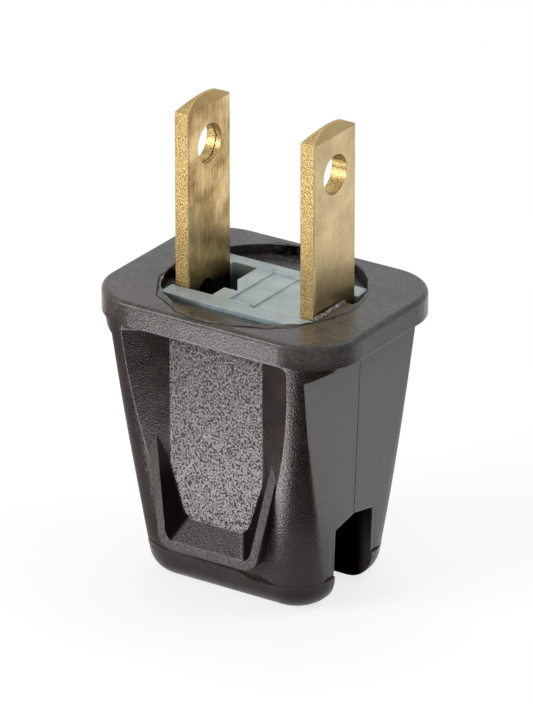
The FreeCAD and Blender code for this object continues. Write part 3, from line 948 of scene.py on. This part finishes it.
from_hole = add_node(
    tree, "ShaderNodeVectorMath",
    {0: in_mm.outputs[0], 1: (0, 1, 1), 2: (0, 0, -HOLE_HEIGHT)}, operation="MULTIPLY_ADD",
)
hole_distance = add_node(tree, "ShaderNodeVectorMath", {0: from_hole.outputs[0]}, operation="LENGTH")
in_hole = add_node(
    tree, "ShaderNodeMath",
    {0: hole_distance.outputs["Value"], 1: HOLE_RADIUS + 0.08}, operation="LESS_THAN",
)
stain = add_node(
    tree, "ShaderNodeTexNoise",
    {"Vector": in_mm.outputs[0], "Scale": 0.3, "Detail": 6.0, "Roughness": 0.62},
)
break_wander = add_node(
    tree, "ShaderNodeMath", {0: stain.outputs["Fac"], 1: 0.8, 2: axes.outputs["X"]},
    operation="MULTIPLY_ADD",
)
break_line = add_node(
    tree, "ShaderNodeMath",
    {0: break_wander.outputs[0], 1: 0.5 - BLADE_MIDDLE, 2: 0.06}, operation="COMPARE",
)
hole_break = add_node(
    tree, "ShaderNodeMath", {0: in_hole.outputs[0], 1: break_line.outputs[0]}, operation="MULTIPLY"
)
smooth_wall = add_node(
    tree, "ShaderNodeMath", {0: in_hole.outputs[0], 1: -0.75, 2: 1.0}, operation="MULTIPLY_ADD"
)
sheared = add_node(
    tree, "ShaderNodeMath", {0: cut_edge.outputs[0], 1: smooth_wall.outputs[0]}, operation="MULTIPLY"
)
print("hole at", round(HOLE_HEIGHT, 2), "mm, radius", HOLE_RADIUS, "mm")

# %% [markdown]
# The rolled lines are noise that is stretched along the blade, and the speckle of the sheared edges is
# plain noise. Both could be modelled on a dense mesh, but they are at most a few hundredths of a
# millimetre high, so they are bump.

# %% Rolled lines and speckle
# The lines are drawn 0.15 mm apart, coarser than the real ones, so that they show.
LINE_HEIGHT, SPECKLE_HEIGHT = 0.012, 0.05
rolled_lines = add_node(
    tree, "ShaderNodeMapping", {"Vector": in_mm.outputs[0], "Scale": (6.5, 6.5, 0.3)}
)
lines = add_node(
    tree, "ShaderNodeTexNoise",
    {"Vector": rolled_lines.outputs[0], "Scale": 1.0, "Detail": 3.0, "Roughness": 0.6},
)
speckle = add_node(
    tree, "ShaderNodeTexNoise",
    {"Vector": in_mm.outputs[0], "Scale": 7.5, "Detail": 2.0, "Roughness": 0.55},
)
line_mm = add_node(
    tree, "ShaderNodeMath", {0: lines.outputs["Fac"], 1: LINE_HEIGHT}, operation="MULTIPLY"
)
rough_mm = add_node(
    tree, "ShaderNodeMath", {0: speckle.outputs["Fac"], 1: sheared.outputs[0]}, operation="MULTIPLY"
)
brass_height = add_node(
    tree, "ShaderNodeMath",
    {0: rough_mm.outputs[0], 1: SPECKLE_HEIGHT, 2: line_mm.outputs[0]}, operation="MULTIPLY_ADD",
)
brass_edge = add_node(tree, "ShaderNodeBevel", {"Radius": 0.1 * MM}, samples=8)
brass_bump = add_node(
    tree, "ShaderNodeBump",
    {
        "Strength": 1.0, "Distance": MM,
        "Height": brass_height.outputs[0], "Normal": brass_edge.outputs["Normal"],
    },
)
print("lines", LINE_HEIGHT, "mm high, speckle", SPECKLE_HEIGHT, "mm")

# %% [markdown]
# Brass tarnishes unevenly: stains and streaks run along the left blade. The right blade is painted lighter,
# a painted reflection, since the left one mirrors the brass beside it. Both are painted browner near the
# plug face, a painted reflection of the dark casing. The coined tips were pressed smooth; they face upwards
# and are painted a little darker as shade. One colour would look like plastic, so the stains and lines pick
# it from a ramp, and specks of tarnish are mixed in.

# %% Satin faces with stains
streak_or_stain = add_node(
    tree, "ShaderNodeMix",
    {0: 0.28, 2: stain.outputs["Fac"], 3: lines.outputs["Fac"]},
)
satin = add_node(tree, "ShaderNodeValToRGB", {0: streak_or_stain.outputs[0]})
satin.color_ramp.elements[0].position = 0.38
satin.color_ramp.elements[0].color = linear("#8f703d")
satin.color_ramp.elements[1].position = 0.6
satin.color_ramp.elements[1].color = linear("#e8cc92")
# Painted reflection: the right blade is mixed towards a lighter brass.
right_blade_reflection = add_node(
    tree, "ShaderNodeMapRange", {"Value": axes.outputs["X"], "From Min": -1, "From Max": 1, "To Max": 0.6}
)
right_reflection_mix = add_node(
    tree, "ShaderNodeMix",
    {0: right_blade_reflection.outputs[0], 6: satin.outputs[0], 7: linear("#d2bf97")}, data_type="RGBA",
)
# Painted reflection of the dark casing near the plug face.
near_face_reflection = add_node(
    tree, "ShaderNodeMapRange",
    {
        "Value": axes.outputs["Z"], "From Min": plug_face / MM + 6.0, "From Max": plug_face / MM - 0.5,
        "To Max": 0.1,
    },
)
casing_reflection_mix = add_node(
    tree, "ShaderNodeMix",
    {0: near_face_reflection.outputs[0], 6: right_reflection_mix.outputs[2], 7: linear("#8a6c35")}, data_type="RGBA",
)
# Painted shade on the upward-facing faces of the coined tips.
upward_shade = add_node(
    tree, "ShaderNodeMapRange",
    {"Value": facing.outputs["Z"], "From Min": 0.1, "From Max": 0.3, "To Max": 0.75},
)
tips_shaded = add_node(
    tree, "ShaderNodeMix",
    {0: upward_shade.outputs[0], 6: casing_reflection_mix.outputs[2], 7: linear("#977e56")}, data_type="RGBA",
)
tarnish = add_node(
    tree, "ShaderNodeMapRange",
    {"Value": speckle.outputs["Fac"], "From Min": 0.45, "From Max": 0.3, "To Max": 0.3},
)
tarnished = add_node(
    tree, "ShaderNodeMix",
    {0: tarnish.outputs[0], 6: tips_shaded.outputs[2], 7: linear("#6f5730")}, data_type="RGBA",
)
print("satin faces:", len(tree.nodes), "nodes so far")

# %% [markdown]
# The sheared edges are speckled bright and dark. Their arrises are the brightest lines on the blade: partly
# polished by every socket that the blade has been in, partly painted highlight where the round edge catches
# the light. Below the plug face, and along the tear in the hole, little light gets in and the brass is
# brown.

# %% Sheared edges and bright arrises
pitted = add_node(tree, "ShaderNodeValToRGB", {0: speckle.outputs["Fac"]})
pitted.color_ramp.elements[0].position = 0.32
pitted.color_ramp.elements[0].color = linear("#7d6238")
pitted.color_ramp.elements[1].position = 0.64
pitted.color_ramp.elements[1].color = linear("#c9b07a")
edged = add_node(
    tree, "ShaderNodeMix",
    {0: cut_edge.outputs[0], 6: tarnished.outputs[2], 7: pitted.outputs[0]}, data_type="RGBA",
)
brass_turn = add_node(
    tree, "ShaderNodeVectorMath",
    {0: brass_edge.outputs["Normal"], 1: surface.outputs["Normal"]}, operation="DOT_PRODUCT",
)
arris = add_node(
    tree, "ShaderNodeMapRange",
    {"Value": brass_turn.outputs["Value"], "From Min": 0.985, "From Max": 0.86, "To Max": 0.8},
)
# Partly polish, partly painted highlight on the arrises.
polish_and_highlight_edges = add_node(
    tree, "ShaderNodeMix",
    {0: arris.outputs[0], 6: edged.outputs[2], 7: linear("#ecd9a6")}, data_type="RGBA",
)
inside = add_node(
    tree, "ShaderNodeMapRange",
    {"Value": axes.outputs["Z"], "From Min": plug_face / MM - 0.4, "From Max": plug_face / MM - 1.2},
)
dark_places = add_node(
    tree, "ShaderNodeMath", {0: inside.outputs[0], 1: hole_break.outputs[0]}, operation="MAXIMUM"
)
brass_colour = add_node(
    tree, "ShaderNodeMix",
    {0: dark_places.outputs[0], 6: polish_and_highlight_edges.outputs[2], 7: linear("#4a371a")}, data_type="RGBA",
)
brass_gloss = add_node(
    tree, "ShaderNodeMapRange", {"Value": sheared.outputs[0], "To Min": 0.36, "To Max": 0.5}
)
brass_shader = add_node(
    tree, "ShaderNodeBsdfPrincipled",
    {
        "Base Color": brass_colour.outputs[2], "Metallic": 1.0,
        "Roughness": brass_gloss.outputs[0], "Normal": brass_bump.outputs[0],
    },
)
add_node(tree, "ShaderNodeOutputMaterial", {"Surface": brass_shader.outputs[0]})
print("brass finish:", len(tree.nodes), "nodes")

# %% [markdown]
# ## Blade carrier: milky nylon
# The carrier is unpigmented nylon, which is cloudy: light goes in, scatters and comes out a few tenths
# of a millimetre away. Thin walls look almost white and deep places look blue-grey. Real glass with fog
# in it would be slow to render, so the shader's subsurface scattering does it. The colour is also painted
# bluer and darker with depth below the plug face, partly the tint of thick nylon and partly painted shade
# in the deep pit.

# %% The carrier's finish
SCATTER = 0.4

carrier_finish, tree = new_finish("milky_nylon")
place = add_node(tree, "ShaderNodeTexCoord")
in_mm = add_node(
    tree, "ShaderNodeVectorMath", {0: place.outputs["Object"], "Scale": 1 / MM}, operation="SCALE"
)
axes = add_node(tree, "ShaderNodeSeparateXYZ", {0: in_mm.outputs[0]})
cloud = add_node(
    tree, "ShaderNodeTexNoise",
    {"Vector": in_mm.outputs[0], "Scale": 0.45, "Detail": 3.0, "Roughness": 0.5},
)
milk = add_node(tree, "ShaderNodeValToRGB", {0: cloud.outputs["Fac"]})
milk.color_ramp.elements[0].position = 0.35
milk.color_ramp.elements[0].color = linear("#a8bcc1")
milk.color_ramp.elements[1].position = 0.68
milk.color_ramp.elements[1].color = linear("#c6d5d7")
# Partly the nylon's tint, partly painted shade: darker blue lower down.
depth_shade = add_node(
    tree, "ShaderNodeMapRange",
    {
        "Value": axes.outputs["Z"], "From Min": plug_face / MM - 0.75, "From Max": plug_face / MM - 1.8,
    },
)
milk_colour = add_node(
    tree, "ShaderNodeMix",
    {0: depth_shade.outputs[0], 6: milk.outputs[0], 7: linear("#486170")}, data_type="RGBA",
)
flow = add_node(
    tree, "ShaderNodeTexNoise",
    {"Vector": in_mm.outputs[0], "Scale": 2.2, "Detail": 2.0, "Roughness": 0.5},
)
carrier_edge = add_node(tree, "ShaderNodeBevel", {"Radius": 0.12 * MM}, samples=8)
carrier_bump = add_node(
    tree, "ShaderNodeBump",
    {
        "Strength": 1.0, "Distance": 0.04 * MM,
        "Height": flow.outputs["Fac"], "Normal": carrier_edge.outputs["Normal"],
    },
)
carrier_shader = add_node(
    tree, "ShaderNodeBsdfPrincipled",
    {
        "Base Color": milk_colour.outputs[2], "Roughness": 0.3, "IOR": 1.53,
        "Subsurface Weight": 0.4, "Subsurface Radius": (1.0, 1.1, 1.2),
        "Subsurface Scale": SCATTER * MM, "Normal": carrier_bump.outputs[0],
    },
)
add_node(tree, "ShaderNodeOutputMaterial", {"Surface": carrier_shader.outputs[0]})
print("carrier finish:", len(tree.nodes), "nodes, scattering over", SCATTER, "mm")

# %% [markdown]
# ## Putting the finishes on the solid parts
# Each solid part came with a plain stand-in material in its first slot. Assigning to that slot keeps the
# mesh untouched.

# %% Assign the finishes
casing.material_slots[0].material = casing_finish
carrier.material_slots[0].material = carrier_finish
for blade in blades:
    blade.material_slots[0].material = brass_finish
print("finishes assigned to", 2 + len(blades), "parts")

# %% [markdown]
# ## Seams of the mould
# Where the two halves of the mould met, a hair of plastic is left standing: a line down the middle of
# each planed side, and a line round the foot. Drawing them in the material would leave them flat, and
# drawing them by hand would miss the surface. So a merged copy of the casing is cut by a plane with
# Bisect, which leaves only the outline of the cut. That outline becomes a curve, gets a small round
# bevel, and is a mesh again. Every seam then lies exactly on the surface. The three steps are functions,
# because both seams need them.

# %% Three steps to a seam
def cut_outline(name, point, normal):
    """A new piece that is only the line in which a plane cuts the casing."""
    bpy.ops.object.select_all(action="DESELECT")
    piece = bpy.data.objects.new(name, casing.data.copy())
    bpy.context.scene.collection.objects.link(piece)
    piece.select_set(True)
    bpy.context.view_layer.objects.active = piece
    bpy.ops.object.mode_set(mode="EDIT")
    bpy.ops.mesh.select_all(action="SELECT")
    bpy.ops.mesh.remove_doubles(threshold=1e-6)
    bpy.ops.mesh.bisect(
        plane_co=point, plane_no=normal, clear_inner=True, clear_outer=True, threshold=1e-7
    )
    bpy.ops.object.mode_set(mode="OBJECT")
    return piece


def drop_points(piece, unwanted):
    """Deletes the points of a line for which unwanted(x, y, z), in millimetres, is true."""
    bpy.context.tool_settings.mesh_select_mode = (True, False, False)
    bpy.ops.object.mode_set(mode="EDIT")
    bpy.ops.mesh.select_all(action="DESELECT")
    bpy.ops.object.mode_set(mode="OBJECT")
    for point in piece.data.vertices:
        point.select = unwanted(*(point.co / MM))
    bpy.ops.object.mode_set(mode="EDIT")
    bpy.ops.mesh.delete(type="VERT")
    bpy.ops.object.mode_set(mode="OBJECT")


def raise_line(piece, radius, finish):
    """Turns a line of points into a thin round ridge of plastic."""
    name = piece.name
    bpy.ops.object.convert(target="CURVE")
    line = bpy.context.object
    line.data.bevel_depth = radius * MM
    line.data.bevel_resolution = 1
    line.data.use_fill_caps = True
    bpy.ops.object.convert(target="MESH")
    ridge = bpy.context.object
    ridge.name = name
    ridge.data.materials.clear()
    ridge.data.materials.append(finish)
    bpy.ops.object.shade_smooth()
    return ridge


print("seams are cut from", len(casing.data.polygons), "faces")

# %% Seams down the sides and round the foot
SIDE_SEAM_RADIUS, FOOT_SEAM_RADIUS = 0.026, 0.035
FOOT_SEAM_HEIGHT = 2.72

side_seam = cut_outline("side_seam", (0, 0, 0), (0, 1, 0))
drop_points(side_seam, lambda x, y, z: abs(x) < 8.6 or z < 2.9 or z > 23.3 or (x > 0 and z < 7.6))
side_seam = raise_line(side_seam, SIDE_SEAM_RADIUS, casing_finish)
foot_seam = cut_outline("foot_seam", (0, 0, FOOT_SEAM_HEIGHT * MM), (0, 0, 1))
drop_points(foot_seam, lambda x, y, z: x > -3.5 and abs(y) < 3.0)
foot_seam = raise_line(foot_seam, FOOT_SEAM_RADIUS, casing_finish)
for seam in (side_seam, foot_seam):
    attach(seam, "root")
    print(seam.name, len(seam.data.polygons), "faces")

# %% [markdown]
# ## Flash round the pocket
# The rim of the pocket has a thin skin of flash that was never trimmed. It leans into the pocket and its
# edge wanders. A circle is extruded to a narrow band and Solidify gives the band a thickness. Between the
# two its upper ring is pushed in and up by a few sine waves. No tool of the mouse makes such waves round a
# ring, so that one step moves the points by a formula.

# %% Ragged lip of the pocket
def wave(turn):
    """Ragged height of the flash, from 0 to 1, at an angle round the pocket."""
    slow = math.sin(5 * turn + 0.6) + 0.7 * math.sin(9 * turn + 2.1)
    quick = 0.5 * math.sin(23 * turn + 1.0) + 0.35 * math.sin(41 * turn + 0.2)
    return min(1.0, max(0.0, 0.45 + 0.3 * slow + 0.25 * quick))


FLASH_THICKNESS, FLASH_REACH, FLASH_RISE = 0.06, 0.32, 0.1
bpy.ops.object.select_all(action="DESELECT")
bpy.ops.mesh.primitive_circle_add(
    vertices=240, radius=(POCKET_RADIUS + 0.03) * MM, location=(0, 0, plug_face - 0.03 * MM)
)
lip = bpy.context.object
lip.name = "pocket_flash"
bpy.ops.object.transform_apply(location=True, rotation=True, scale=True)
bpy.ops.object.mode_set(mode="EDIT")
bpy.ops.mesh.extrude_edges_move(TRANSFORM_OT_translate={"value": (0, 0, 0.05 * MM)})
bpy.ops.object.mode_set(mode="OBJECT")
for point in lip.data.vertices:
    if point.co.z > plug_face:
        turn = math.atan2(point.co.y, point.co.x)
        reach = wave(turn)
        radius = (POCKET_RADIUS - 0.05 - FLASH_REACH * reach) * MM
        point.co = (
            radius * math.cos(turn), radius * math.sin(turn), plug_face + (0.02 + FLASH_RISE * reach) * MM
        )
skin = lip.modifiers.new("skin", "SOLIDIFY")
skin.thickness = FLASH_THICKNESS * MM
skin.offset = 0
bpy.ops.object.modifier_apply(modifier=skin.name)
bpy.ops.object.mode_set(mode="EDIT")
bpy.ops.mesh.select_all(action="SELECT")
bpy.ops.mesh.normals_make_consistent(inside=False)
bpy.ops.object.mode_set(mode="OBJECT")
lip.data.materials.append(casing_finish)
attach(lip, "root")
print(lip.name, len(lip.data.polygons), "faces")

# %% [markdown]
# ## Torn skin beside the blades
# When a blade is pushed home it scrapes the edge of the land behind it and leaves a pale torn fringe.
# Torn plastic is whiter than the moulded skin because it is full of tiny cracks. So it gets a finish of
# its own, in which noise flecks the brown with white.

# %% A finish for torn plastic
torn_finish, tree = new_finish("torn_brown_plastic")
place = add_node(tree, "ShaderNodeTexCoord")
in_mm = add_node(
    tree, "ShaderNodeVectorMath", {0: place.outputs["Object"], "Scale": 1 / MM}, operation="SCALE"
)
fleck = add_node(
    tree, "ShaderNodeTexNoise",
    {"Vector": in_mm.outputs[0], "Scale": 2.6, "Detail": 4.0, "Roughness": 0.65},
)
flecked = add_node(tree, "ShaderNodeValToRGB", {0: fleck.outputs["Fac"]})
flecked.color_ramp.elements[0].position = 0.42
flecked.color_ramp.elements[0].color = linear("#3a302b")
flecked.color_ramp.elements[1].position = 0.6
flecked.color_ramp.elements[1].color = linear("#cfc8be")
torn_bump = add_node(
    tree, "ShaderNodeBump",
    {"Strength": 1.0, "Distance": 0.1 * MM, "Height": fleck.outputs["Fac"]},
)
torn_shader = add_node(
    tree, "ShaderNodeBsdfPrincipled",
    {
        "Base Color": flecked.outputs[0], "Roughness": 0.6, "IOR": 1.5,
        "Normal": torn_bump.outputs[0],
    },
)
add_node(tree, "ShaderNodeOutputMaterial", {"Surface": torn_shader.outputs[0]})
print("torn plastic: flecks 0.4 mm")

# %% [markdown]
# The fringe is a narrow grid along the land's edge. Its rows are lifted more and more towards the blade,
# Randomize roughens them, and Solidify makes the grid a skin. It could be scattered crumbs, but a torn
# skin hangs together. No point may touch the blade, so any that Randomize pushed too far is pulled back.
# The second fringe is a copy with its own mesh, turned half round.

# %% The torn fringes
LAND_EDGE, LAND_TOP = 7.5, plug_face / MM - 0.15
FRINGE_START, FRINGE_END = -3.9, 1.0
FRINGE_WIDTH, FRINGE_RISE, FRINGE_ROUGHNESS = 0.34, 0.13, 0.09
FRINGE_ROWS = 3
blade_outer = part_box("blade_right")[1].x
bpy.ops.object.select_all(action="DESELECT")
bpy.ops.mesh.primitive_grid_add(
    x_subdivisions=FRINGE_ROWS, y_subdivisions=52, size=1, location=(0, 0, (LAND_TOP + 0.02) * MM)
)
fringe = bpy.context.object
fringe.name = "torn_skin_right"
fringe.scale = (FRINGE_WIDTH * MM, (FRINGE_END - FRINGE_START) * MM, MM)
fringe.location.x = (LAND_EDGE - 0.03) * MM
fringe.location.y = (FRINGE_START + FRINGE_END) / 2 * MM
bpy.ops.object.transform_apply(location=True, rotation=True, scale=True)
outer_row = max(point.co.x for point in fringe.data.vertices)
bpy.context.tool_settings.mesh_select_mode = (True, False, False)
for row in range(FRINGE_ROWS, 0, -1):
    bpy.ops.object.mode_set(mode="EDIT")
    bpy.ops.mesh.select_all(action="DESELECT")
    bpy.ops.object.mode_set(mode="OBJECT")
    for point in fringe.data.vertices:
        point.select = outer_row - point.co.x > (row - 0.5) / FRINGE_ROWS * FRINGE_WIDTH * MM
    bpy.ops.object.mode_set(mode="EDIT")
    bpy.ops.transform.translate(value=(0, 0, FRINGE_RISE / FRINGE_ROWS * MM))
bpy.ops.mesh.select_all(action="SELECT")
bpy.ops.transform.vertex_random(offset=FRINGE_ROUGHNESS * MM, seed=7)
bpy.ops.object.mode_set(mode="OBJECT")
for point in fringe.data.vertices:
    point.co.x = max(point.co.x, blade_outer + 0.05 * MM)
skin = fringe.modifiers.new("skin", "SOLIDIFY")
skin.thickness = 0.05 * MM
skin.offset = 0
bpy.ops.object.modifier_apply(modifier=skin.name)
fringe.data.materials.append(torn_finish)
bpy.ops.object.duplicate()
other = bpy.context.object
other.name = "torn_skin_left"
bpy.ops.transform.rotate(value=math.pi, orient_axis="Z", center_override=(0, 0, 0))
bpy.ops.object.transform_apply(location=True, rotation=True, scale=True)
for piece in (fringe, other):
    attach(piece, "root")
    print(piece.name, len(piece.data.polygons), "faces")

# %% [markdown]
# ## Small marks on the carrier
# A rounded bead runs along the front of the carrier's middle floor. It could be a tube, but a cube of its
# size, rounded by the bevel operator, keeps a flat foot on the floor.

# %% Bead on the carrier
CARRIER_TOP = plug_face / MM - 0.45
BEAD_LENGTH, BEAD_WIDTH, BEAD_HEIGHT = 2.3, 0.24, 0.2
bpy.ops.object.select_all(action="DESELECT")
bpy.ops.mesh.primitive_cube_add(size=1, location=(-0.36 * MM, -3.36 * MM, (CARRIER_TOP - 0.02) * MM))
bead = bpy.context.object
bead.name = "carrier_bead"
bead.scale = (BEAD_LENGTH * MM, BEAD_WIDTH * MM, BEAD_HEIGHT * MM)
bpy.ops.object.transform_apply(location=True, rotation=True, scale=True)
bpy.ops.object.mode_set(mode="EDIT")
bpy.ops.mesh.select_all(action="SELECT")
bpy.ops.mesh.bevel(offset=0.09 * MM, segments=4, affect="EDGES")
bpy.ops.object.mode_set(mode="OBJECT")
bpy.ops.object.shade_smooth()
bead.data.materials.append(carrier_finish)
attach(bead, "root")
print(bead.name, len(bead.data.polygons), "faces")

# %% [markdown]
# The pin that pushed the carrier out of its mould left a small round mark on the back wall. It could be
# a bump in the finish, but its raised rim catches the light, so it is modelled: a short cylinder, whose
# top is inset and pressed down.

# %% Pin mark on the carrier
MARK_RADIUS, MARK_HEIGHT, MARK_RIM = 0.26, 0.1, 0.08
bpy.ops.object.select_all(action="DESELECT")
bpy.ops.mesh.primitive_cylinder_add(
    vertices=32, radius=MARK_RADIUS * MM, depth=MARK_HEIGHT * MM,
    location=(-1.74 * MM, 4.1 * MM, (CARRIER_TOP + 0.01) * MM),
)
mark = bpy.context.object
mark.name = "carrier_pin_mark"
bpy.ops.object.transform_apply(location=True, rotation=True, scale=True)
for face in mark.data.polygons:
    face.select = face.normal.z > 0.9
for point in mark.data.vertices:
    point.select = point.co.z > (CARRIER_TOP + 0.05) * MM
bpy.context.tool_settings.mesh_select_mode = (False, False, True)
bpy.ops.object.mode_set(mode="EDIT")
bpy.ops.mesh.inset(thickness=MARK_RIM * MM, depth=0.0)
bpy.ops.transform.translate(value=(0, 0, -MARK_HEIGHT / 2 * MM))
bpy.ops.object.mode_set(mode="OBJECT")
bpy.ops.object.shade_smooth_by_angle(angle=math.radians(40))
mark.data.materials.append(carrier_finish)
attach(mark, "root")
print(mark.name, len(mark.data.polygons), "faces")
